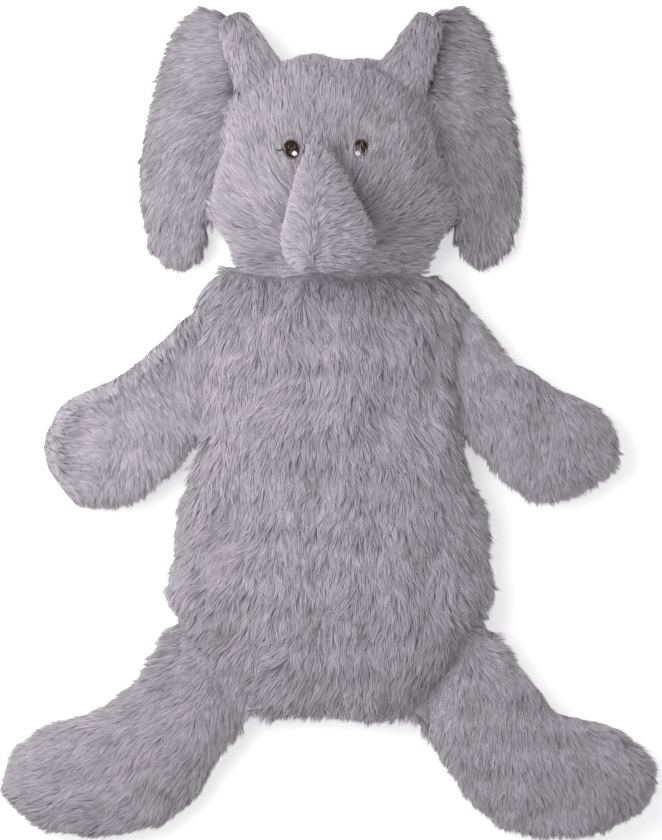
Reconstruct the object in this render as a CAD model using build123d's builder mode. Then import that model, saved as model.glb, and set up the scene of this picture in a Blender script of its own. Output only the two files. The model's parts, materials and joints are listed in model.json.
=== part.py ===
from build123d import *
from collections import namedtuple
import math
import os

# A floppy plush elephant lying on its back. Millimetres, +Z up out of the belly, +Y to the
# head, and +X to the elephant's own left. Every soft form is a pillow: two plush panels that
# meet in a seam, with fibre fill between them. Limbs, ears, trunk and head end in a flat sewn
# edge, and hinge there.

# ---- sizes shared by all the forms ----
seam_height = 20.0      # the side seams above the floor
floor_press = 3.0       # how much the floor flattens an underside
plush_wall = 6.0        # backing cloth and combed pile together
fill_gap = 0.2          # between a panel's inside and its fill
seam_gap = 2.0          # between two forms that are sewn together with a hinging seam
seam_edge = 0.8         # half the thickness of a flat sewn edge
min_share = 0.4         # a panel never takes more than the rest of a thin edge's height
least_spacing = 1.0     # between two stations of a pillow

# ---- body ----
neck_y = 92.0
shoulder_y = 78.0       # top of the arm seam
armpit_y = -4.0         # bottom of the arm seam
waist_y = -60.0
hip_y = -127.0          # top of the leg seam
crotch_y = -186.0       # bottom of the leg seam
seat_y = -191.0
neck_width = 118.0
shoulder_width = 154.0
waist_width = 187.0
belly_width = 209.0
hip_width = 195.0
crotch_width = 96.0
body_front = 34.0       # height of the belly above the side seam
neck_round = 5.0        # the length over which the neck, shoulders, belly and seat round off
shoulder_round = 16.0
belly_round = 14.0
seat_round = 10.0
seat_inset = 8.0

# ---- arms ----
arm_length = 104.0      # from the shoulder seam straight out to the tip of the paw
arm_drop = 55.0         # how far the paw lies below the middle of the shoulder seam
arm_width = 80.0
arm_front = 14.0

# ---- legs ----
leg_length = 155.0
leg_width = 86.5
leg_front = 20.0
ankle_shift = 15.0      # how far the ankle bows towards the other leg
foot_turn = 15.0        # how far the toe of the foot turns outwards

# ---- head ----
chin_y = 104.0
ear_low_y = 128.0       # bottom of the ear seam
ear_high_y = 205.0      # top of the ear seam
crown_y = 233.0
cheek_width = 157.0
temple_width = 122.0
crown_width = 38.0
head_front = 56.0
jaw_round = 3.0         # the length over which the jaw, cheeks, temples and crown round off
jaw_growth = 6.0
cheek_round = 24.0
temple_round = 13.0
crown_shoulder = 8.0
crown_round = 3.0

# ---- ears ----
ear_reach = 51.0        # from the ear seam out to the rim
ear_span = 160.5        # from the lobe to the top of the ear
ear_thickness = 13.0
ear_tilt = 18.0         # degrees that the ear slopes down to the floor

# ---- trunk ----
brow_y = 179.0
trunk_tip_y = 90.0
trunk_seam_x = -12.0    # the trunk lolls to the elephant's right
trunk_width = 61.0
trunk_turn = 0.9        # share of the length past which its tip closes about its middle
trunk_bulk = 44.0
trunk_clear = 1.2       # above the face
trunk_loll = 0.33       # share of the width on the right of the seam

# ---- eyes, embroidered ----
eye_middle = -3.0       # the point midway between the eyes, across the face
eye_x = 22.0            # from there to each eye
eye_y = 170.0
iris_width = 8.8
iris_height = 11.9
rim_wide = 0.8
thread_pile = 1.0       # thickness of a patch of satin stitch
highlight_radius = 1.7
lash_length = 5.0
lash_wide = 1.4
part_line = 0.15        # between two colours of thread

# ---- the hand-sewn closing seam between the legs ----
closing_length = 60.0
closing_pitch = 7.5
thread_radius = 0.5

Station = namedtuple("Station", "along centre half_width up down")
Pillow = namedtuple("Pillow", "origin outward across normal stations")

UP = Vector(0, 0, 1)
FLOOR = Plane.XY


def section_plane(pillow, along):
    """The plane across a pillow at a distance along it, with the seam on its local X."""
    return Plane(
        origin=pillow.origin + pillow.outward * along,
        x_dir=pillow.across,
        z_dir=pillow.across.cross(pillow.normal),
    )


def seam_plane(pillow):
    """The plane in which the two panels of a pillow meet."""
    return Plane(origin=pillow.origin, x_dir=pillow.outward, z_dir=pillow.normal)


def between(stations, along):
    """The station at a distance along a pillow, on straight lines between its neighbours."""
    for low, high in zip(stations, stations[1:]):
        if along <= high.along:
            break
    share = (along - low.along) / (high.along - low.along)
    return Station(*(a + (b - a) * share for a, b in zip(low, high)))


def drawn_in(pillow, wall):
    """The pillow's inside: a wall smaller all round, and thinner where it meets a sewn edge."""
    rows = pillow.stations
    first = rows[0].along + wall
    last = rows[-1].along - wall
    kept = [row for row in rows if first + least_spacing < row.along < last - least_spacing]
    inner = []
    for row in [between(rows, first), *kept, between(rows, last)]:
        inner.append(
            Station(
                row.along,
                row.centre,
                max(row.half_width - wall, row.half_width * min_share),
                max(row.up - wall, row.up * min_share),
                max(row.down - wall, row.down * min_share),
            )
        )
    return pillow._replace(stations=inner)


def swollen(pillow, by):
    """The pillow with each section a little larger, for what lies on its surface."""
    rows = [Station(s.along, s.centre, s.half_width + by, s.up + by, s.down + by) for s in pillow.stations]
    return pillow._replace(stations=rows)


def finish(builder, label):
    """Name a finished piece and write it."""
    builder.part.label = label
    export_step(builder.part, f"parts/{label}.step")


def section(pillow, row):
    """The outline of one station: two half ellipses that meet in the seam plane."""
    with BuildSketch(section_plane(pillow, row.along)) as outline:
        with BuildLine():
            EllipticalCenterArc((row.centre, 0), row.half_width, row.up, 0, arc_size=180)
            EllipticalCenterArc((row.centre, 0), row.half_width, row.down, 180, arc_size=180)
        make_face()
    return outline.sketch


def sections(pillow):
    """The outlines of a pillow, from its first station to its last."""
    return [section(pillow, row) for row in pillow.stations]


def sewn_panel(label, pillow, cuts):
    """One plush panel of a pillow: its skin, cut along the given planes."""
    with BuildPart() as panel:
        loft(sections(pillow), ruled=True)
        loft(sections(drawn_in(pillow, plush_wall)), ruled=True, mode=Mode.SUBTRACT)
        for plane, side in cuts:
            split(bisect_by=plane, keep=side)
    finish(panel, label)


def fibre_fill(label, pillow):
    """The stuffing of a pillow, just clear of the inside of its panels."""
    with BuildPart() as fill:
        loft(sections(swollen(drawn_in(pillow, plush_wall + fill_gap), -fill_gap / 2)), ruled=True)
    finish(fill, label)


def front_and_back(name, pillow):
    """The front and back panels of a form that lies on the floor."""
    seam = seam_plane(pillow)
    sewn_panel(f"{name}_front_panel", pillow, [(seam, Keep.TOP)])
    sewn_panel(f"{name}_back_panel", pillow, [(seam, Keep.BOTTOM), (FLOOR, Keep.TOP)])


def heights(fullness, front, back):
    """Half heights above and below the seam, from a flat sewn edge at 0 to full at 1."""
    up = seam_edge + (front - seam_edge) * fullness
    down = seam_edge + (back - seam_edge) * fullness
    return up, down


# ---- the forms ----
back_depth = seam_height + floor_press


def body_form():
    """The torso, from the neck seam down to the seat."""
    hip_slope = (hip_width - crotch_width) / (hip_y - crotch_y)
    rows = [
        (neck_y, neck_width, 0.0),
        (neck_y - neck_round, (neck_width + shoulder_width) / 2, 0.30),
        (shoulder_y, shoulder_width, 0.50),
        (shoulder_y - shoulder_round, shoulder_width, 0.72),
        ((shoulder_y + armpit_y) / 2, shoulder_width, 0.93),
        (armpit_y, shoulder_width, 1.0),
        (waist_y, waist_width, 1.0),
        ((waist_y + hip_y) / 2, (waist_width + belly_width) / 2, 1.0),
        (hip_y + belly_round, belly_width, 0.97),
        (hip_y, hip_width, 0.93),
        ((hip_y + crotch_y) / 2, (hip_width + crotch_width) / 2, 0.78),
        (crotch_y + seat_round, crotch_width + hip_slope * seat_round, 0.52),
        (crotch_y, crotch_width, 0.24),
        (seat_y, crotch_width - seat_inset, 0.0),
    ]
    stations = [
        Station(neck_y - y, 0, width / 2, *heights(full, body_front, back_depth))
        for y, width, full in rows
    ]
    origin = Vector(0, neck_y, seam_height)
    return Pillow(origin, Vector(0, -1, 0), Vector(1, 0, 0), UP, stations)


def arm_form(side):
    """An arm, from its flat shoulder seam out to the paw."""
    seam_half = (shoulder_y - armpit_y) / 2
    rows = [
        (0.00, 0.00, 2 * seam_half / arm_width, 0.0),
        (0.08, 0.15, 0.99, 0.38),
        (0.20, 0.45, 1.02, 0.68),
        (0.34, 0.68, 1.02, 0.90),
        (0.50, 0.87, 1.00, 1.0),
        (0.63, 0.95, 0.92, 1.0),
        (0.75, 0.98, 0.80, 0.97),
        (0.86, 1.00, 0.64, 0.85),
        (0.94, 1.00, 0.44, 0.62),
        (1.00, 1.00, 0.18, 0.12),
    ]
    stations = [
        Station(share * arm_length, -drop * arm_drop, wide * arm_width / 2, *heights(full, arm_front, back_depth))
        for share, drop, wide, full in rows
    ]
    origin = Vector(side * (shoulder_width / 2 + seam_gap), (shoulder_y + armpit_y) / 2, seam_height)
    return Pillow(origin, Vector(side, 0, 0), Vector(0, 1, 0), UP, stations)


def leg_form(side):
    """A leg, from its flat seam at the hip out to the turned foot."""
    hip = Vector(side * hip_width / 2, hip_y, seam_height)
    crotch = Vector(side * crotch_width / 2, crotch_y, seam_height)
    across = (crotch - hip).normalized()
    outward = Vector(-side * across.Y, side * across.X, 0)
    seam_length = (crotch - hip).length
    rows = [
        (0.00, 0.00, 0.00, seam_length / leg_width, 0.0),
        (0.05, 0.05, 0.00, 0.95, 0.40),
        (0.13, 0.25, 0.00, 0.90, 0.72),
        (0.22, 0.55, 0.00, 0.88, 0.90),
        (0.34, 0.90, 0.00, 0.92, 1.0),
        (0.45, 1.00, 0.00, 0.98, 1.0),
        (0.58, 0.75, 0.00, 1.04, 1.0),
        (0.71, 0.00, 0.00, 1.01, 1.0),
        (0.82, 0.00, 0.42, 0.89, 0.97),
        (0.90, 0.00, 0.80, 0.68, 0.85),
        (0.96, 0.00, 0.95, 0.44, 0.62),
        (1.00, 0.00, 1.00, 0.18, 0.12),
    ]
    stations = [
        Station(
            share * leg_length,
            bow * ankle_shift - turn * foot_turn,
            wide * leg_width / 2,
            *heights(full, leg_front, back_depth),
        )
        for share, bow, turn, wide, full in rows
    ]
    return Pillow((hip + crotch) / 2 + outward * seam_gap, outward, across, UP, stations)


def head_form():
    """The head, from the neck seam up to the crown."""
    face_taper = (cheek_width - temple_width) / (ear_high_y - ear_low_y)
    rows = [
        (neck_y + seam_gap, neck_width, 0.0),
        (neck_y + seam_gap + jaw_round, neck_width + jaw_growth, 0.26),
        (chin_y, (neck_width + cheek_width) / 2, 0.58),
        ((chin_y + ear_low_y) / 2, (neck_width + 3 * cheek_width) / 4, 0.80),
        (ear_low_y, cheek_width, 0.95),
        (ear_low_y + cheek_round, cheek_width - face_taper * cheek_round, 1.0),
        (ear_high_y - cheek_round, temple_width + face_taper * cheek_round, 0.97),
        (ear_high_y, temple_width, 0.76),
        (ear_high_y + temple_round, 0.2 * crown_width + 0.8 * temple_width, 0.56),
        (crown_y - crown_shoulder, 0.5 * crown_width + 0.5 * temple_width, 0.38),
        (crown_y - crown_round, 0.75 * crown_width + 0.25 * temple_width, 0.20),
        (crown_y, crown_width, 0.04),
    ]
    start = neck_y + seam_gap
    stations = [
        Station(y - start, 0, width / 2, *heights(full, head_front, back_depth)) for y, width, full in rows
    ]
    return Pillow(Vector(0, start, seam_height), Vector(0, 1, 0), Vector(1, 0, 0), UP, stations)


def ear_form(side):
    """An ear: two panels with no fill, sloping from the seam on the head down to the floor."""
    low = Vector(side * cheek_width / 2, ear_low_y, seam_height)
    high = Vector(side * temple_width / 2, ear_high_y, seam_height)
    across = (high - low).normalized()
    level = Vector(side * across.Y, -side * across.X, 0)
    tilt = math.radians(ear_tilt)
    outward = level * math.cos(tilt) - UP * math.sin(tilt)
    normal = UP * math.cos(tilt) + level * math.sin(tilt)
    seam_half = (high - low).length / 2
    sewn = seam_half / ear_span  # share of the span from the middle of the seam to its end
    rows = [
        (0.00, 0.17, 2 * sewn + 0.34, 0.0),
        (0.08, 0.05, 0.90, 0.60),
        (0.20, 0.05, 0.99, 0.85),
        (0.38, 0.07, 1.00, 1.0),
        (0.55, 0.09, 0.98, 1.0),
        (0.72, 0.12, 0.87, 0.97),
        (0.86, 0.13, 0.70, 0.85),
        (0.95, 0.14, 0.48, 0.62),
        (1.00, 0.15, 0.24, 0.15),
    ]
    half = ear_thickness / 2
    stations = [
        Station(share * ear_reach, shift * ear_span, wide * ear_span / 2, *heights(full, half, half))
        for share, shift, wide, full in rows
    ]
    return Pillow((low + high) / 2 + outward * seam_gap, outward, across, normal, stations)


def trunk_form():
    """The trunk, hanging from the brow over the face. Its panels meet in an upright seam."""
    face_top = seam_height + head_front + trunk_clear
    length = brow_y - trunk_tip_y
    rows = [
        (0.00, 0.16, 0.00, 0.0),
        (0.10, 0.32, 0.00, 0.26),
        (0.28, 0.58, 0.00, 0.52),
        (0.48, 0.84, 0.00, 0.74),
        (0.66, 0.98, 0.03, 0.94),
        (0.80, 1.00, 0.06, 1.00),
        (0.91, 0.84, 0.04, 0.82),
        (0.97, 0.58, 0.00, 0.52),
        (1.00, 0.26, -0.04, 0.18),
    ]
    stations = []
    for share, tall, sink, wide in rows:
        half = tall * trunk_bulk / 2
        rise = half - sink * trunk_bulk
        if share > trunk_turn:
            rise = trunk_bulk / 2 - sink * trunk_bulk
        right = seam_edge + trunk_width * trunk_loll * wide
        left = seam_edge + trunk_width * (1 - trunk_loll) * wide
        stations.append(Station(share * length, rise, half, left, right))
    origin = Vector(trunk_seam_x, brow_y, face_top)
    return Pillow(origin, Vector(0, -1, 0), UP, Vector(1, 0, 0), stations)


# ---- embroidery on the face ----
def eye_patch(label, head, outline, low, high):
    """A patch of thread that follows the face, from one height above it to another."""
    with BuildPart() as patch:
        loft(sections(swollen(head, high)), ruled=True)
        loft(sections(swollen(head, low)), ruled=True, mode=Mode.SUBTRACT)
        add(outline, mode=Mode.INTERSECT)
    finish(patch, label)


def upright(sketch):
    """A flat outline as a tall prism through the face."""
    with BuildPart() as prism:
        add(sketch)
        extrude(amount=seam_height + head_front + 2 * trunk_bulk)
    return prism.part


def embroidered_eye(name, side, head):
    """Iris, bronze rim, highlight and lash of one eye."""
    middle = Plane.XY.offset(seam_height).move(Location((eye_middle + side * eye_x, eye_y, 0)))
    with BuildSketch(middle) as iris:
        Ellipse(iris_width / 2, iris_height / 2)
    with BuildSketch(middle) as rim:
        Ellipse(iris_width / 2 + rim_wide, iris_height / 2 + rim_wide)
        Ellipse(iris_width / 2 + part_line, iris_height / 2 + part_line, mode=Mode.SUBTRACT)
    with BuildSketch(middle) as highlight:
        with Locations((-side * iris_width / 4, -iris_height / 4)):
            Circle(highlight_radius)
    root = side * (iris_width / 2 + rim_wide + part_line)
    with BuildSketch(middle) as lash:
        with BuildLine():
            tip = (root + side * lash_length, lash_wide / 2)
            ThreePointArc((root, lash_wide / 2), (root + side * lash_length / 2, -lash_wide / 4), tip)
            ThreePointArc((root, -lash_wide / 2), (root + side * lash_length / 2, -lash_wide), tip)
            Line((root, lash_wide / 2), (root, -lash_wide / 2))
        make_face()
    eye_patch(f"{name}_eye_iris", head, upright(iris.sketch), 0, thread_pile)
    eye_patch(f"{name}_eye_rim", head, upright(rim.sketch), 0, thread_pile)
    eye_patch(f"{name}_eye_highlight", head, upright(highlight.sketch), thread_pile, 1.5 * thread_pile)
    eye_patch(f"{name}_eye_lash", head, upright(lash.sketch), 0, thread_pile)


# ---- pieces ----
body = body_form()
front_and_back("body", body)
fibre_fill("body_fill", body)

with BuildPart() as closing_stitch:
    stitch_count = int(closing_length / closing_pitch)
    with BuildSketch(Plane.YZ.offset(-closing_length / 2)):
        with Locations((seat_y - thread_radius, seam_height)):
            Circle(thread_radius)
    extrude(amount=closing_length)
    with BuildSketch(Plane.XY.offset(seam_height - seam_edge)):
        with Locations((0, seat_y - thread_radius)):
            with GridLocations(closing_pitch, 1, stitch_count, 1):
                Circle(thread_radius)
    extrude(amount=2 * seam_edge)
finish(closing_stitch, "closing_stitch")

head = head_form()
head_seam = seam_plane(head)
sewn_panel("head_left_face_panel", head, [(head_seam, Keep.TOP), (Plane.YZ, Keep.TOP)])
sewn_panel("head_right_face_panel", head, [(head_seam, Keep.TOP), (Plane.YZ, Keep.BOTTOM)])
sewn_panel("head_back_panel", head, [(head_seam, Keep.BOTTOM), (FLOOR, Keep.TOP)])
fibre_fill("head_fill", head)

trunk = trunk_form()
trunk_seam = seam_plane(trunk)
sewn_panel("trunk_left_panel", trunk, [(trunk_seam, Keep.TOP)])
sewn_panel("trunk_right_panel", trunk, [(trunk_seam, Keep.BOTTOM)])
fibre_fill("trunk_fill", trunk)

for name, side in (("left", 1), ("right", -1)):
    embroidered_eye(name, side, head)
    front_and_back(f"{name}_ear", ear_form(side))
    front_and_back(f"{name}_arm", arm_form(side))
    fibre_fill(f"{name}_arm_fill", arm_form(side))
    front_and_back(f"{name}_leg", leg_form(side))
    fibre_fill(f"{name}_leg_fill", leg_form(side))
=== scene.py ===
"""Looks of the plush elephant: a stuffed skin in sewn pieces, combed pile on all of it, embroidered eyes.

The elephant lies on its back. +Z points out of its belly, +Y to its head and +X to its own left.
Lengths are in metres. Left and right are the elephant's own.
"""

import json
import math

import bpy
import numpy as np
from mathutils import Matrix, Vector
from mathutils.bvhtree import BVHTree
from mathutils.kdtree import KDTree


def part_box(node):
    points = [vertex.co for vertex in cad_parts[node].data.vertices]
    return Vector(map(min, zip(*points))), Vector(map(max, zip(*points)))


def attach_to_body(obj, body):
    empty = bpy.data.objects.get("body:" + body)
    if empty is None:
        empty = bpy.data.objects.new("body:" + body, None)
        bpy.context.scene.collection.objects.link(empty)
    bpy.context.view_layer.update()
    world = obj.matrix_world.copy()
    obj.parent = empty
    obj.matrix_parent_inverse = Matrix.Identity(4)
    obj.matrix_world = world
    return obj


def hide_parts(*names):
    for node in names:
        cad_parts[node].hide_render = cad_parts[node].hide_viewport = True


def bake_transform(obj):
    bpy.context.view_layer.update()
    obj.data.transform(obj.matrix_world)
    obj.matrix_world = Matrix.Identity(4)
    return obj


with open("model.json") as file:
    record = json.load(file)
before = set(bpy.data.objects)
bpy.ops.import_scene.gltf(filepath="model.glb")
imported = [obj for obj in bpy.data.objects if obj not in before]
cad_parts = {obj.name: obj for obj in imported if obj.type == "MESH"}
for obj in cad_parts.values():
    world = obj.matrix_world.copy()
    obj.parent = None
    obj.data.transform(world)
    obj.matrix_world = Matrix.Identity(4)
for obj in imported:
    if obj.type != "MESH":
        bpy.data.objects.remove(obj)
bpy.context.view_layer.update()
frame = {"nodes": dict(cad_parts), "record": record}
nodes = frame["nodes"]
rng = np.random.default_rng(7)

MM = 0.001
UP = np.array((0.0, 0.0, 1.0))
SIDES = {"left": 1, "right": -1}

# ---------------------------------------------------------------- sizes
seam_z = 20 * MM  # the plane of the seam round the body
voxel = 3.4 * MM
pile_depth = 5.0 * MM  # the skin lies this far under the ends of the pile
floor_gap = 0.4 * MM
strand_width = 0.46 * MM
strands_per_tuft = 14
face_front_z = 50 * MM  # above this the face is in front, where the eyes are
shoulder_growth = 5 * MM  # the cloth bulges out where the arms join the body
edge_radius = 14 * MM  # pile that points inwards at the outline follows the cloth round this curve
lobe_growth = 5 * MM  # the ears' lobes spread out where nothing holds them
ear_top_growth = 3.5 * MM  # the ears' tops are fuller than the CAD's
jaw_drawn_in = 6 * MM  # the cheeks narrow towards the chin
sole_growth = 4 * MM  # the feet bulge out at the soles
skin_shade = 0.3  # the cloth is coloured as a strand is at this share of its length, so it takes the pile's painted root shade
softness = 0.45  # how far the pile takes the skin's shading


# ---------------------------------------------------------------- mesh helpers
def mesh_object(name, points, faces):
    mesh = bpy.data.meshes.new(name)
    mesh.from_pydata([tuple(p) for p in points], [], [tuple(f) for f in faces])
    mesh.validate()
    obj = bpy.data.objects.new(name, mesh)
    bpy.context.scene.collection.objects.link(obj)
    return obj


def mesh_arrays(mesh):
    """Points, and triangles as rows of point numbers."""
    points = np.empty(len(mesh.vertices) * 3)
    mesh.vertices.foreach_get("co", points)
    mesh.calc_loop_triangles()
    triangles = np.empty(len(mesh.loop_triangles) * 3, int)
    mesh.loop_triangles.foreach_get("vertices", triangles)
    return points.reshape(-1, 3), triangles.reshape(-1, 3)


def joined(names):
    """Points, triangles, and the node number of each triangle, of several CAD nodes."""
    points, triangles, owners, count = [], [], [], 0
    for number, name in enumerate(names):
        p, t = mesh_arrays(nodes[name].data)
        points.append(p)
        triangles.append(t + count)
        owners.append(np.full(len(t), number))
        count += len(p)
    return np.concatenate(points), np.concatenate(triangles), np.concatenate(owners)


def point_normals(points, triangles):
    a, b, c = (points[triangles[:, i]] for i in range(3))
    across = np.cross(b - a, c - a)
    normals = np.zeros_like(points)
    for i in range(3):
        np.add.at(normals, triangles[:, i], across)
    return unit(normals)


def unit(rows):
    return rows / np.maximum(np.linalg.norm(rows, axis=-1, keepdims=True), 1e-12)


def smoothstep(value, low, high):
    t = np.clip((value - low) / (high - low), 0, 1)
    return t * t * (3 - 2 * t)


def waves(points, size, seed, count=16):
    """Smooth noise between about -1 and 1, with lumps of the given size."""
    own = np.random.default_rng(seed)
    total = np.zeros(len(points))
    for _ in range(count):
        direction = unit(own.normal(size=3))
        rate = 2 * math.pi / size * own.uniform(0.6, 1.5)
        total += np.sin(points @ direction * rate + own.uniform(0, 2 * math.pi))
    return total / math.sqrt(count / 2) / 1.5


# ---------------------------------------------------------------- skins
def remeshed(name, names):
    """One closed skin round several CAD nodes, as points and triangles."""
    points, triangles, _ = joined(names)
    return shrink_wrapped(mesh_object(name, points, triangles))


def shrink_wrapped(obj, size=voxel):
    """An object's voxel remesh, as points and triangles. The object itself is taken away."""
    modifier = obj.modifiers.new("remesh", "REMESH")
    modifier.mode = "VOXEL"
    modifier.voxel_size = size
    graph = bpy.context.evaluated_depsgraph_get()
    mesh = bpy.data.meshes.new_from_object(obj.evaluated_get(graph))
    bpy.data.objects.remove(obj)
    result = mesh_arrays(mesh)
    bpy.data.meshes.remove(mesh)
    return result


def relaxed(points, triangles, rounds, amount=0.5):
    """Each point moves towards the mean of its neighbours."""
    edges = np.concatenate([triangles[:, (0, 1)], triangles[:, (1, 2)], triangles[:, (2, 0)]])
    edges = np.unique(np.sort(edges, axis=1), axis=0)
    degree = np.bincount(edges.ravel(), minlength=len(points))[:, None]
    for _ in range(rounds):
        total = np.zeros_like(points)
        np.add.at(total, edges[:, 0], points[edges[:, 1]])
        np.add.at(total, edges[:, 1], points[edges[:, 0]])
        points = points + amount * (total / np.maximum(degree, 1) - points)
    return points


def plush_panels():
    """Names of the sewn panels, apart from the trunk's."""
    return [n for n in nodes if n.endswith("_panel") and not n.startswith("trunk")]


def sunk(points, triangles, names, top_depth):
    """The skin drawn in under its pile: by the pile's depth on the flat, by the style at the outline."""
    normals = point_normals(points, triangles)
    level = np.hypot(normals[:, 0], normals[:, 1])
    raised = smoothstep(abs(points[:, 2] - seam_z), 0, 10 * MM)
    out = np.zeros(len(points))
    for name, faces in split(points, triangles, names).items():
        comb, _, _, against, ahead = style(name)
        used = np.unique(faces)
        towards = np.sum(comb(points[used], name)[:, :2] * normals[used, :2], axis=1)
        out[used] = against + (ahead - against) * np.clip(towards, 0, 1) ** 2
        if "body" in name or "arm" in name:
            out[used] -= shoulder_growth * smoothstep(points[used, 1], 35 * MM, 60 * MM)
        if "ear" in name:
            inward = np.clip(-np.sign(points[used, 0]) * normals[used, 0], 0, 1)
            low_down = 1 - smoothstep(points[used, 1], 110 * MM, 150 * MM)
            out[used] -= lobe_growth * (1 + inward) * low_down
            out[used] -= ear_top_growth * smoothstep(points[used, 1], 230 * MM, 250 * MM)
        if "head" in name:
            out[used] += jaw_drawn_in * (1 - smoothstep(points[used, 1], 110 * MM, 140 * MM))
        if "leg" in name:
            out[used] -= sole_growth * np.clip(-normals[used, 1], 0, 1)
    depth = raised * (1 - level) * top_depth + level * out
    return points - normals * relaxed(depth[:, None], triangles, 6)


def rumpled(points, triangles):
    """Soft lumps of the filling under the cloth."""
    normals = point_normals(points, triangles)
    lumps = waves(points, 60 * MM, 3) * 2.2 + waves(points, 28 * MM, 4) * 1.1
    free = smoothstep(points[:, 2], 8 * MM, 25 * MM)
    return points + normals * (lumps * free * MM)[:, None]


def split(points, triangles, names):
    """The skin's triangles by the CAD panel that they lie nearest to."""
    cad_points, cad_triangles, owners = joined(names)
    tree = BVHTree.FromPolygons(cad_points.tolist(), cad_triangles.tolist())
    centres = points[triangles].mean(axis=1)
    nearest = np.array([owners[tree.find_nearest(c)[2]] for c in centres.tolist()])
    return {name: triangles[nearest == number] for number, name in enumerate(names)}


# ---------------------------------------------------------------- how the pile is combed
def spread(points, node, rows):
    """Directions over a panel, blended from rows (share of x, share of y, degrees from +X)."""
    low, high = (np.array(corner)[:2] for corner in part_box(node))
    shares = (points[:, :2] - low) / (high - low)
    total = np.zeros((len(points), 2))
    for x, y, degrees in rows:
        distance = (shares[:, 0] - x) ** 2 + (shares[:, 1] - y) ** 2
        weight = 1 / (distance + 0.01) ** 1.5
        angle = math.radians(degrees)
        total += weight[:, None] * np.array((math.cos(angle), math.sin(angle)))
    return unit(np.column_stack([total, np.zeros(len(points))]))


def comb_body(points, node):
    return spread(points, "body_front_panel", [
        (0.1, 1.0, -110), (0.5, 1.0, -88), (0.9, 1.0, -65),
        (0.1, 0.7, -112), (0.4, 0.7, -95), (0.7, 0.7, -72), (0.9, 0.7, -60),
        (0.0, 0.4, -120), (0.3, 0.4, -100), (0.6, 0.4, -85), (1.0, 0.4, -48),
        (0.0, 0.2, -150), (0.3, 0.2, -118), (0.6, 0.2, -98), (1.0, 0.2, -35),
        (0.2, 0.0, -135), (0.5, 0.0, -95), (0.8, 0.0, -110),
    ])


def comb_face(points, node):
    chin = np.array((-3 * MM, 95 * MM, 0.0))
    away = points - chin
    away[:, 0] *= 0.9
    away[:, 2] = 0
    return unit(away)


def comb_head_back(points, node):
    return spread(points, node, [(0.5, 0.5, -90), (0.1, 0.5, -110), (0.9, 0.5, -70)])


def comb_ear(points, node):
    side = 1 if node.startswith("left") else -1
    low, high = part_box(node)
    share = (points[:, 1] - low.y) / (high.y - low.y)
    angle = np.radians(-75 + 70 * smoothstep(share, 0.1, 1.0))
    return np.column_stack([side * np.cos(angle), np.sin(angle), np.zeros(len(points))])


def comb_arm(points, node):
    if node.startswith("right"):
        rows = [(1.0, 1.0, -70), (0.8, 0.6, -68), (0.5, 0.5, -60), (0.4, 0.2, -95),
                (0.2, 0.3, -25), (0.0, 0.1, -10)]
    else:
        rows = [(0.0, 1.0, -60), (0.3, 0.9, -30), (0.3, 0.5, -85), (0.6, 0.3, -92),
                (0.8, 0.5, -30), (1.0, 0.2, -45), (0.8, 0.0, -80)]
    return spread(points, node, rows)


def comb_leg(points, node):
    if node.startswith("right"):
        rows = [(0.8, 1.0, 205), (0.5, 0.7, 205), (0.9, 0.5, 255), (0.6, 0.3, 240),
                (0.2, 0.4, 195), (0.0, 0.2, 190), (0.4, 0.0, 215)]
    else:
        rows = [(0.1, 0.8, -85), (0.4, 0.9, -45), (0.2, 0.4, -100), (0.5, 0.5, -90),
                (0.8, 0.5, -35), (1.0, 0.2, -35), (0.6, 0.1, -85)]
    return spread(points, node, rows)


def comb_pleat(points, side):
    """Down the fold, from the ear's top to the crown, and a little inwards."""
    middle, _ = pleat_path(side)
    down = unit(middle[0] - middle[-1])
    down[2] = 0
    return np.broadcast_to(unit(down + np.array((0, -0.5, 0))), points.shape)


def comb_trunk(points, node):
    """Up and outwards from the trunk's seam, and out from a star at its tip."""
    low, high = trunk_box()
    seam_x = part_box("trunk_left_panel")[0].x
    side = np.clip((points[:, 0] - seam_x) / (5 * MM), -1, 1)
    share = (points[:, 1] - low[1]) / (high[1] - low[1])
    degrees = -35 + 50 * smoothstep(share, 0.02, 0.25) + 55 * smoothstep(share, 0.25, 1.0)
    angle = np.radians(degrees)
    rise = np.sin(angle) + (1 - abs(side))
    return unit(np.column_stack([side * np.cos(angle), rise, np.zeros(len(points))]))


def trunk_box():
    corners = [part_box(f"trunk_{side}_panel") for side in SIDES]
    return np.min([c[0] for c in corners], axis=0), np.max([c[1] for c in corners], axis=0)


# ---------------------------------------------------------------- pile
def turned(directions, normals, degrees):
    """Directions turned about the normals."""
    angle = np.radians(degrees)[:, None]
    return directions * np.cos(angle) + np.cross(normals, directions) * np.sin(angle)


def roots_on(points, triangles, count):
    """Random places spread evenly over triangles: triangle numbers, and shares of two corners."""
    a, b, c = (points[triangles[:, i]] for i in range(3))
    areas = np.linalg.norm(np.cross(b - a, c - a), axis=1)
    chosen = rng.choice(len(triangles), count, p=areas / areas.sum())
    u, v = rng.random((2, count, 1))
    over = u + v > 1
    u, v = np.where(over, 1 - u, u), np.where(over, 1 - v, v)
    return chosen, u, v


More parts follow.
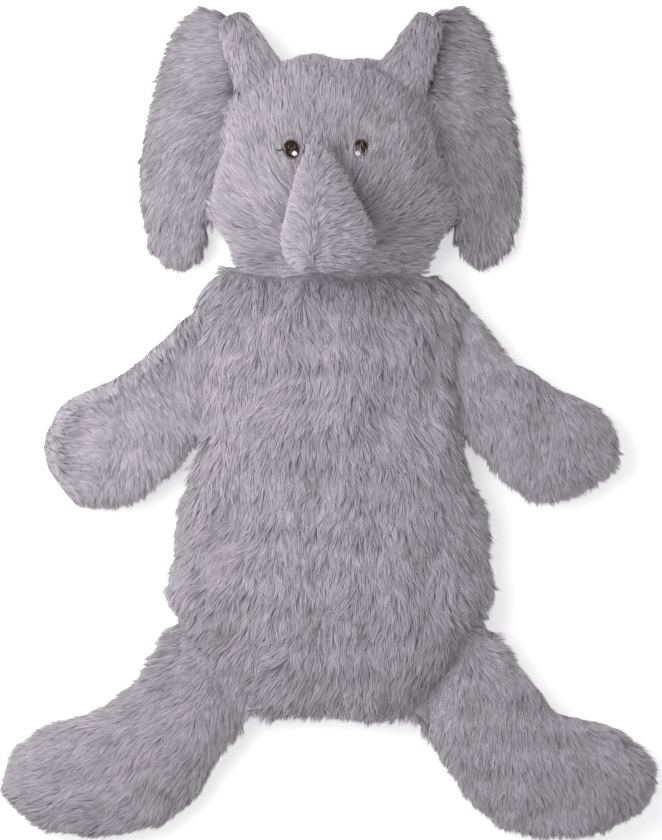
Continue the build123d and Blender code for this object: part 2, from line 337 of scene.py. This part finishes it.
def strands(points, triangles, normals, node, comb, count, length, keep=None):
    """Strands of pile: centre lines (count, levels, 3), directions of their widths, facings, and tones with
    the painted shade of some parts.
    """
    chosen, u, v = roots_on(points, triangles, count)
    corners = triangles[chosen]
    shares = np.stack([1 - u - v, u, v])
    roots = sum(s * points[corners[:, i]] for i, s in enumerate(shares))
    out = unit(sum(s * normals[corners[:, i]] for i, s in enumerate(shares)))
    if keep is not None:
        kept = keep(roots)
        roots, out = roots[kept], out[kept]
    total = len(roots)

    flow = comb(roots, node)
    bank = smoothstep(np.hypot(out[:, 0], out[:, 1]), 0.5, 1.0)
    towards = np.sum(flow[:, :2] * out[:, :2], axis=1)
    length = length * (1 - 0.35 * bank * np.clip(towards, 0, 1))
    over_edge = bank * np.clip(1 + 3 * towards, -1, 1)
    flow = flow - 0.5 * over_edge[:, None] * UP * np.sign(out[:, 2:3] + 0.3)
    flow = unit(flow - out * np.sum(flow * out, axis=1, keepdims=True))

    tufts = max(total // strands_per_tuft, 1)
    tree = KDTree(tufts)
    centres = rng.choice(total, tufts, replace=False)
    for number, centre in enumerate(centres):
        tree.insert(roots[centre], number)
    tree.balance()
    tuft = np.array([tree.find(r)[1] for r in roots.tolist()])

    wild = WILD.get(comb.__name__, 1.0)
    swirl = 12 * waves(roots, 45 * MM, 11) + 9 * waves(roots, 18 * MM, 12)
    swirl += rng.normal(0, 7, len(centres))[tuft] + rng.normal(0, 6, total)
    swirl *= wild
    flow = turned(flow, out, swirl)
    lift = rng.normal(0.27, 0.06, total) + 0.035 * wild * waves(roots, 16 * MM, 13)
    fold = bank * np.clip(-towards, 0, 1)
    lift = np.clip(lift + 0.22 * bank - 0.4 * fold, 0.1, 0.8)
    reach = length * np.clip(rng.normal(1, 0.16, total), 0.5, 1.4)

    lines = np.empty((total, len(LEVELS), 3))
    for i, s in enumerate(LEVELS):
        rise = reach * lift * s * (1 - 0.35 * s) - fold * (reach * s) ** 2 / (2 * edge_radius)
        run = reach * s * np.sqrt(np.maximum(1 - lift**2, 0.2))
        lines[:, i] = roots + flow * run[:, None] + out * rise[:, None]
    pull = np.clip(rng.normal(0.42, 0.14, len(centres)), 0.0, 0.8)[tuft]
    for i, s in enumerate(LEVELS):
        lines[:, i] += (pull * s**1.2)[:, None] * (lines[centres[tuft], i] - lines[:, i])
    lines[:, :, 2] = np.maximum(lines[:, :, 2], floor_gap + 0.5 * MM * rng.random((total, 1)))

    facing = unit(out + 0.9 * UP * smoothstep(out[:, 2:3], -0.6, 0.3))
    across = turned(unit(np.cross(flow, facing)), flow, rng.uniform(-50, 50, total))
    # each strand's and tuft's random tone, with painted shade added to the pile of the ears and trunk
    tone_and_painted_shade = 0.55 + 0.2 * rng.normal(size=total) + rng.normal(0, 0.13, len(centres))[tuft]
    tone_and_painted_shade += 0.05 * waves(roots, 30 * MM, 14) + PAINTED_SHADE.get(comb.__name__, 0.0)
    return lines, across, facing, np.clip(tone_and_painted_shade, 0.02, 0.98)


LEVELS = (0.0, 0.5, 1.0)
WIDTHS = (0.9, 1.0)  # of a strand at each level before its tip
PAINTED_SHADE = {"comb_ear": -0.18, "comb_trunk": -0.08}  # painted shade: these parts' pile is coloured darker than the rest, standing in for the shade that falls on them
WILD = {"comb_body": 1.25, "comb_face": 0.6, "comb_trunk": 0.6, "comb_ear": 0.7}  # how unruly the pile is


def furred(name, points, triangles, normals, fur):
    """One object: the skin's triangles and all of its strands."""
    used, local = np.unique(triangles, return_inverse=True)
    skin_points, skin_faces = points[used], local.reshape(-1, 3)
    lines, across, facing, tone_and_painted_shade = fur
    total = len(lines)
    widths = strand_width * rng.uniform(0.75, 1.15, total)
    rings = []
    for i, share in enumerate(WIDTHS):
        half = across * (0.5 * share * widths)[:, None]
        rings += [lines[:, i] + half, lines[:, i] - half]
    rings.append(lines[:, -1])
    strand_points = np.stack(rings, axis=1).reshape(-1, 3)

    per = 2 * len(WIDTHS) + 1
    base = len(skin_points) + per * np.arange(total)[:, None]
    quads = np.array([(2 * i, 2 * i + 2, 2 * i + 3, 2 * i + 1) for i in range(len(WIDTHS) - 1)])
    quads = (base[:, None] + quads[None]).reshape(-1, 4)
    tips = base + np.array((per - 3, per - 1, per - 2))

    all_points = np.concatenate([skin_points, strand_points])
    loops = np.concatenate([skin_faces.ravel(), quads.ravel(), tips.ravel()])
    shapes = (skin_faces, quads, tips)
    sizes = np.concatenate([np.full(len(part), part.shape[1]) for part in shapes])
    starts = np.concatenate([[0], np.cumsum(sizes)[:-1]])

    mesh = bpy.data.meshes.new(name)
    mesh.vertices.add(len(all_points))
    mesh.vertices.foreach_set("co", all_points.ravel())
    mesh.loops.add(len(loops))
    mesh.loops.foreach_set("vertex_index", loops)
    mesh.polygons.add(len(sizes))
    mesh.polygons.foreach_set("loop_start", starts)
    mesh.polygons.foreach_set("loop_total", sizes)
    mesh.update(calc_edges=True)
    mesh.shade_smooth()

    level_of = np.repeat(LEVELS, 2)[:per]
    along = np.concatenate([np.full(len(skin_points), skin_shade), np.tile(level_of, total)])
    # each strand's random tone, together with the painted shade of the ears and trunk
    tint_and_painted_shade = np.concatenate([np.full(len(skin_points), 0.5), np.repeat(tone_and_painted_shade, per)])
    for key, values in (("tint_and_painted_shade", tint_and_painted_shade), ("along", along)):
        mesh.attributes.new(key, "FLOAT", "POINT").data.foreach_set("value", values)
    bake_map(mesh, loops, len(skin_faces) * 3, tint_and_painted_shade, along, per, len(skin_points))
    soft = np.concatenate([normals[used], np.repeat(facing, per, axis=0)])
    soften(mesh, soft)

    obj = bpy.data.objects.new(name, mesh)
    bpy.context.scene.collection.objects.link(obj)
    return obj


def soften(mesh, skin_normals):
    """Light falls on the pile nearly as it does on the skin, so that strands shade as a soft mass."""
    own = np.empty(len(mesh.vertices) * 3)
    mesh.vertex_normals.foreach_get("vector", own)
    own = own.reshape(-1, 3)
    same_side = np.where(np.sum(own * skin_normals, axis=1, keepdims=True) < 0, -1, 1)
    mixed = unit(own * (1 - softness) + same_side * skin_normals * softness)
    mesh.normals_split_custom_set_from_vertices(mixed.tolist())


def bake_map(mesh, loops, skin_loops, tint_and_painted_shade, along, per, first):
    """A map whose two axes are the strand's tone with its painted shade and the place along a strand, so
    that a bake keeps both.
    """
    side = np.zeros(len(tint_and_painted_shade))
    side[first:] = np.tile([-1, 1] * (per // 2) + [0], (len(tint_and_painted_shade) - first) // per) * 0.004
    flat = np.column_stack([tint_and_painted_shade + side, 0.02 + 0.96 * along])[loops]
    flat[:skin_loops] = (0.5, 0.02 + 0.96 * skin_shade)
    flat[:skin_loops] += np.tile(((0, 0), (0.004, 0), (0, 0.004)), (skin_loops // 3, 1))
    mesh.uv_layers.new(name="OFBake").data.foreach_set("uv", flat.ravel())


# ---------------------------------------------------------------- materials
def material(name):
    """A new material, its node tree and its principled shader."""
    made = bpy.data.materials.new(name)
    made.use_nodes = True
    return made, made.node_tree, made.node_tree.nodes["Principled BSDF"]


def link(tree, source, target):
    tree.links.new(source, target)


def noise_texture(tree, scale, detail=3.0):
    place = tree.nodes.new("ShaderNodeTexCoord")
    noise = tree.nodes.new("ShaderNodeTexNoise")
    noise.inputs["Scale"].default_value = scale
    noise.inputs["Detail"].default_value = detail
    link(tree, place.outputs["Object"], noise.inputs["Vector"])
    return noise.outputs["Fac"]


def ramp(tree, source, stops):
    node = tree.nodes.new("ShaderNodeValToRGB")
    elements = node.color_ramp.elements
    while len(elements) < len(stops):
        elements.new(0.5)
    for element, (place, colour) in zip(elements, stops):
        element.position = place
        element.color = (*colour, 1)
    link(tree, source, node.inputs["Fac"])
    return node.outputs["Color"]


def ranged(tree, source, low, high):
    node = tree.nodes.new("ShaderNodeMapRange")
    node.inputs["To Min"].default_value = low
    node.inputs["To Max"].default_value = high
    link(tree, source, node.inputs["Value"])
    return node.outputs["Result"]


def bump(tree, shader, height, strength, distance):
    node = tree.nodes.new("ShaderNodeBump")
    node.inputs["Strength"].default_value = strength
    node.inputs["Distance"].default_value = distance
    link(tree, height, node.inputs["Height"])
    link(tree, node.outputs["Normal"], shader.inputs["Normal"])


def plush_material():
    """Pile: darker at its roots, lighter at its tips, which is painted shade deep in the pile; each strand a
    little different.
    """
    made, tree, shader = material("grey_plush")
    along = tree.nodes.new("ShaderNodeAttribute")
    along.attribute_name = "along"
    tint_and_painted_shade = tree.nodes.new("ShaderNodeAttribute")
    tint_and_painted_shade.attribute_name = "tint_and_painted_shade"
    colour_and_root_shade = ramp(tree, along.outputs["Fac"], PILE_COLOURS_AND_ROOT_SHADE)
    # a strand's tone, painted shade included, scales its colour
    shades = [(0.0, (0.5,) * 3), (0.55, (0.88,) * 3), (1.0, (1.08,) * 3)]
    strand_colour = ramp(tree, tint_and_painted_shade.outputs["Fac"], shades)
    mix = tree.nodes.new("ShaderNodeMix")
    mix.data_type = "RGBA"
    mix.blend_type = "MULTIPLY"
    mix.inputs["Factor"].default_value = 1.0
    link(tree, colour_and_root_shade, mix.inputs["A"])
    link(tree, strand_colour, mix.inputs["B"])
    link(tree, mix.outputs["Result"], shader.inputs["Base Color"])
    link(tree, ranged(tree, tint_and_painted_shade.outputs["Fac"], 0.62, 0.8), shader.inputs["Roughness"])
    shader.inputs["Sheen Weight"].default_value = 0.1
    shader.inputs["Sheen Roughness"].default_value = 0.4
    shader.inputs["Specular IOR Level"].default_value = 0.25
    bump(tree, shader, noise_texture(tree, 900), 0.15, 0.2 * MM)
    return made


# the pile's colour from root to tip; the darker roots are painted shade deep in the pile
PILE_COLOURS_AND_ROOT_SHADE = [(0.0, (0.36, 0.33, 0.37)), (0.45, (0.53, 0.493, 0.54)), (1.0, (0.66, 0.616, 0.672))]


def thread_material(name, dark, light, scale=1500, rough=(0.3, 0.5)):
    made, tree, shader = material(name)
    noise = noise_texture(tree, scale)
    link(tree, ramp(tree, noise, [(0.3, dark), (0.7, light)]), shader.inputs["Base Color"])
    link(tree, ranged(tree, noise, *rough), shader.inputs["Roughness"])
    shader.inputs["Specular IOR Level"].default_value = 0.15
    bump(tree, shader, noise, 0.4, 0.05 * MM)
    return made


plush = plush_material()
brown = thread_material("brown_thread", (0.007, 0.003, 0.0015), (0.045, 0.017, 0.007))
bronze = thread_material("bronze_thread", (0.055, 0.026, 0.009), (0.16, 0.085, 0.035))
white = thread_material("white_thread", (0.70, 0.70, 0.70), (0.92, 0.92, 0.92))
seam = thread_material("seam_thread", (0.20, 0.19, 0.21), (0.30, 0.285, 0.31))
fibre = thread_material("fibre_fill", (0.62, 0.62, 0.61), (0.85, 0.85, 0.84), 250, (0.8, 0.95))


def attach(obj, body):
    """The body's own cloth rides on the body; any other piece stays where it lies, with its place baked into
    its mesh.
    """
    if body == "body":
        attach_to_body(obj, body)
        return
    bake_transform(obj)


# ---------------------------------------------------------------- the plush pieces
STYLES = (
    # part of a panel's name, comb, strands, their length, and how far the skin lies inside the CAD's
    # outline: where the pile points inwards, and where it points out
    ("body_front", comb_body, 60000, 12 * MM, -2.2 * MM, 4.0 * MM),
    ("body_back", comb_body, 22000, 12 * MM, -2.2 * MM, 4.0 * MM),
    ("face", comb_face, 26000, 10 * MM, -1.0 * MM, 3.0 * MM),
    ("head_back", comb_head_back, 12000, 10 * MM, -1.0 * MM, 3.0 * MM),
    ("ear_front", comb_ear, 22000, 10 * MM, -3.0 * MM, 1.0 * MM),
    ("ear_back", comb_ear, 10000, 10 * MM, -3.0 * MM, 1.0 * MM),
    ("right_arm_front", comb_arm, 24000, 11 * MM, -2.0 * MM, 1.5 * MM),
    ("right_arm_back", comb_arm, 9000, 11 * MM, -2.0 * MM, 1.5 * MM),
    ("left_arm_front", comb_arm, 24000, 11 * MM, 1.5 * MM, 1.5 * MM),
    ("left_arm_back", comb_arm, 9000, 11 * MM, 1.5 * MM, 1.5 * MM),
    ("leg_front", comb_leg, 32000, 11 * MM, 4.5 * MM, 4.5 * MM),
    ("leg_back", comb_leg, 12000, 11 * MM, 4.5 * MM, 4.5 * MM),
    ("trunk", comb_trunk, 13000, 8.5 * MM, 0.0, 0.0),
)


def style(name):
    return next(row[1:] for row in STYLES if row[0] in name)


def body_of_node(name):
    return next(b for b, members in frame["record"]["behaviour"]["bodies"].items() if name in members)


def clear_of_eyes(roots):
    """True where pile grows: not on the embroidery, apart from the lower part of the left eye."""
    kept = np.ones(len(roots), bool)
    for side in SIDES:
        low, high = eye_box(side)
        centre, half = (low + high) / 2, (high - low) / 2
        away = (roots - centre) / (half + 0.3 * MM)
        near = np.hypot(away[:, 0], away[:, 1]) < 1
        if side == "left":
            near &= away[:, 1] > -0.1
        kept &= ~(near & (roots[:, 2] > face_front_z))
    return kept


def eye_box(side):
    low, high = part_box(f"{side}_eye_rim")
    return np.array(low), np.array(high)


def dress(points, triangles, names):
    """Splits a skin into its sewn panels and grows the pile on each."""
    normals = point_normals(points, triangles)
    for name, faces in split(points, triangles, names).items():
        comb, count, length, _, _ = style(name)
        keep = clear_of_eyes if "face" in name else None
        fur = strands(points, faces, normals, name, comb, count, length, keep)
        obj = furred(name.replace("_panel", "_plush"), points, faces, normals, fur)
        obj.data.materials.append(plush)
        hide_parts(name)
        attach(obj, body_of_node(name))


def make_skins():
    panels = plush_panels()
    fills = [n for n in nodes if n.endswith("_fill") and n != "trunk_fill"]
    points, triangles = remeshed("skin", panels + fills)
    points = relaxed(points, triangles, 4)
    points = sunk(points, triangles, panels, pile_depth)
    points = rumpled(points, triangles)
    dress(points, triangles, panels)

    names = [f"trunk_{side}_panel" for side in SIDES]
    points, triangles = remeshed("trunk_skin", names + ["trunk_fill"])
    points = relaxed(points, triangles, 3)
    points = points - point_normals(points, triangles) * 3.5 * MM
    dress(points, triangles, names)


def pleat_path(side):
    """The middle of the fold at the top of an ear, from the crown to the ear's top, with its half widths."""
    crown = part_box("head_back_panel")[1].y
    ear_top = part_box(f"{side}_ear_front_panel")[1].y
    root = np.array((SIDES[side] * 43 * MM, crown - 19 * MM, 31 * MM))
    top = np.array((SIDES[side] * 65 * MM, ear_top - 3 * MM, 24 * MM))
    shares = np.linspace(0, 1, 9)
    middle = root + shares[:, None] * (top - root)
    middle[:, 2] += 3 * MM * np.sin(math.pi * shares)
    halves = MM * (10 + 10 * (1 - shares))
    return middle, halves


def make_pleats():
    """The folds where the tops of the ears are gathered into the side seams of the head."""
    around = 24
    thickness = 7 * MM
    for side in SIDES:
        middle, halves = pleat_path(side)
        points = []
        for number, (place, half) in enumerate(zip(middle, halves)):
            ahead = middle[min(number + 1, len(middle) - 1)] - middle[max(number - 1, 0)]
            level = unit(np.cross(UP, ahead))
            for k in range(around):
                turn = 2 * math.pi * k / around
                aside = half * math.cos(turn) * level
                points.append(place + aside + thickness * math.sin(turn) * UP)
        faces = []
        for number in range(len(middle) - 1):
            for k in range(around):
                a, b = number * around + k, number * around + (k + 1) % around
                faces.append((a, b, b + around, a + around))
        faces.append(tuple(range(around))[::-1])
        faces.append(tuple((len(middle) - 1) * around + k for k in range(around)))
        blank = mesh_object(f"{side}_pleat_blank", points, faces)
        points, triangles = shrink_wrapped(blank)
        points = relaxed(points, triangles, 3)
        points = points - point_normals(points, triangles) * 2 * MM
        normals = point_normals(points, triangles)
        fur = strands(points, triangles, normals, side, comb_pleat, 7000, 9 * MM)
        obj = furred(f"{side}_ear_pleat", points, triangles, normals, fur)
        obj.data.materials.append(plush)
        attach(obj, f"{side}_ear")


def make_fills():
    """The fibre filling, a little inside the cloth."""
    for name in [n for n in nodes if n.endswith("_fill")]:
        blank = mesh_object("blank", *mesh_arrays(nodes[name].data))
        points, triangles = shrink_wrapped(blank, 5 * MM)
        points = relaxed(points, triangles, 3)
        points = points - point_normals(points, triangles) * pile_depth
        obj = mesh_object(name.replace("_fill", "_stuffing"), points, triangles)
        obj.data.shade_smooth()
        obj.data.materials.append(fibre)
        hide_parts(name)
        attach(obj, body_of_node(name))


# ---------------------------------------------------------------- embroidery
def satin(node, finish, drop, pitch=0.42 * MM, degrees=70):
    """Rows of raised stitches over the shape of a CAD node, pulled down into the pile."""
    points, triangles = mesh_arrays(nodes[node].data)
    points[:, 2] -= drop
    tree = BVHTree.FromPolygons(points.tolist(), triangles.tolist())
    low, high = points.min(axis=0), points.max(axis=0)
    centre = (low + high) / 2
    reach = np.linalg.norm((high - low)[:2]) / 2
    angle = math.radians(degrees)
    along = np.array((math.cos(angle), math.sin(angle), 0))
    side = np.array((-math.sin(angle), math.cos(angle), 0))
    step = 0.25 * MM
    rows = []
    for offset in np.arange(-reach, reach, pitch):
        run = []
        for distance in np.arange(-reach, reach, step):
            start = centre + side * offset + along * distance
            start[2] = high[2] + 10 * MM
            hit = tree.ray_cast(Vector(start), Vector((0, 0, -1)))[0]
            if hit is not None:
                run.append(np.array(hit))
            if (hit is None or distance + step >= reach) and run:
                rows.append(run)
                run = []
    return stitched(node, [r for r in rows if len(r) > 1], pitch, finish)


def stitched(node, rows, pitch, finish, corners=6):
    """Each row becomes one thread, thin at both ends."""
    all_points, faces = [], []
    for row in rows:
        line = np.array(row)
        direction = unit(line[-1] - line[0])
        sideways = unit(np.cross(UP, direction))
        rise = np.cross(direction, sideways)
        first = len(all_points)
        for i, place in enumerate(line):
            share = i / (len(line) - 1)
            radius = 0.62 * pitch * (0.45 + 0.55 * math.sin(math.pi * share) ** 0.5)
            for k in range(corners):
                turn = 2 * math.pi * k / corners
                all_points.append(place + radius * (math.cos(turn) * sideways + math.sin(turn) * rise))
        for i in range(len(line) - 1):
            for k in range(corners):
                a, b = first + i * corners + k, first + i * corners + (k + 1) % corners
                faces.append((a, b, b + corners, a + corners))
        faces.append(tuple(first + k for k in range(corners))[::-1])
        faces.append(tuple(first + (len(line) - 1) * corners + k for k in range(corners)))
    obj = mesh_object(f"{node}_stitches", all_points, faces)
    obj.data.shade_smooth()
    obj.data.materials.append(finish)
    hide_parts(node)
    return obj


EYE_DROPS = {"left": 3.1 * MM, "right": 0.8 * MM}  # the pile below the left eye has risen over it


def make_eyes():
    parts = (("iris", brown, "brown_thread"), ("rim", bronze, "bronze_thread"),
             ("highlight", white, "white_thread"), ("lash", brown, "brown_thread"))
    for side in SIDES:
        for part, finish, slot_name in parts:
            obj = satin(f"{side}_eye_{part}", finish, EYE_DROPS[side])
            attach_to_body(obj, "head")


def make_closing_stitch():
    """A row of short slanting stitches down in the pile, where the crotch was sewn up last."""
    low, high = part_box("closing_stitch")
    pitch = 7.5 * MM
    count = round((high.x - low.x) / pitch)
    level = low.y + pile_depth
    rows = []
    for number in range(count):
        x = low.x + (number + 0.5) * (high.x - low.x) / count
        leans = (-1, 0, 1)
        rows.append([np.array((x + k * 0.25 * pitch, level, seam_z + k * 1.5 * MM)) for k in leans])
    obj = stitched("closing_stitch", rows, 0.9 * MM, seam)
    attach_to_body(obj, "body")


# ---------------------------------------------------------------- stage
def make_stage():
    floor = mesh_object("floor", [(-3, -3, 0), (3, -3, 0), (3, 3, 0), (-3, 3, 0)], [(0, 1, 2, 3)])
    made, tree, shader = material("floor")
    noise = noise_texture(tree, 30)
    link(tree, ranged(tree, noise, 0.85, 0.9), shader.inputs["Roughness"])
    shader.inputs["Base Color"].default_value = (0.93, 0.93, 0.93, 1)
    shader.inputs["Specular IOR Level"].default_value = 0.0
    shader.inputs["Emission Color"].default_value = (1, 1, 1, 1)
    shader.inputs["Emission Strength"].default_value = 0.45
    floor.data.materials.append(made)

    scene = bpy.context.scene
    scene.view_settings.view_transform = "Standard"
    world = bpy.data.worlds.new("studio")
    scene.world = world
    world.use_nodes = True
    background = world.node_tree.nodes["Background"]
    background.inputs["Color"].default_value = (1, 1, 1, 1)
    background.inputs["Strength"].default_value = 0.53

    area_light("key", (-0.38, 0.14, 0.56), (0.0, 0.0, 0.0), 0.7, 4.1)


def area_light(name, place, target, size, power):
    data = bpy.data.lights.new(name, "AREA")
    data.shape = "DISK"
    data.size = size
    data.energy = power
    obj = bpy.data.objects.new(name, data)
    bpy.context.scene.collection.objects.link(obj)
    obj.location = place
    aim = Vector(target) - Vector(place)
    obj.rotation_euler = aim.to_track_quat("-Z", "Y").to_euler()


def make_camera():
    """Straight above the belly, far enough away to see it nearly flat."""
    data = bpy.data.cameras.new("camera")
    obj = bpy.data.objects.new("camera", data)
    bpy.context.scene.collection.objects.link(obj)
    distance = 2.5
    seen_height = 0.5376
    data.sensor_fit = "VERTICAL"
    data.sensor_height = 24
    data.lens = data.sensor_height * distance / seen_height
    obj.location = (0, 0, distance + seam_z)
    bpy.context.scene.camera = obj


make_camera()
make_stage()
make_skins()
make_pleats()
make_fills()
make_eyes()
make_closing_stitch()
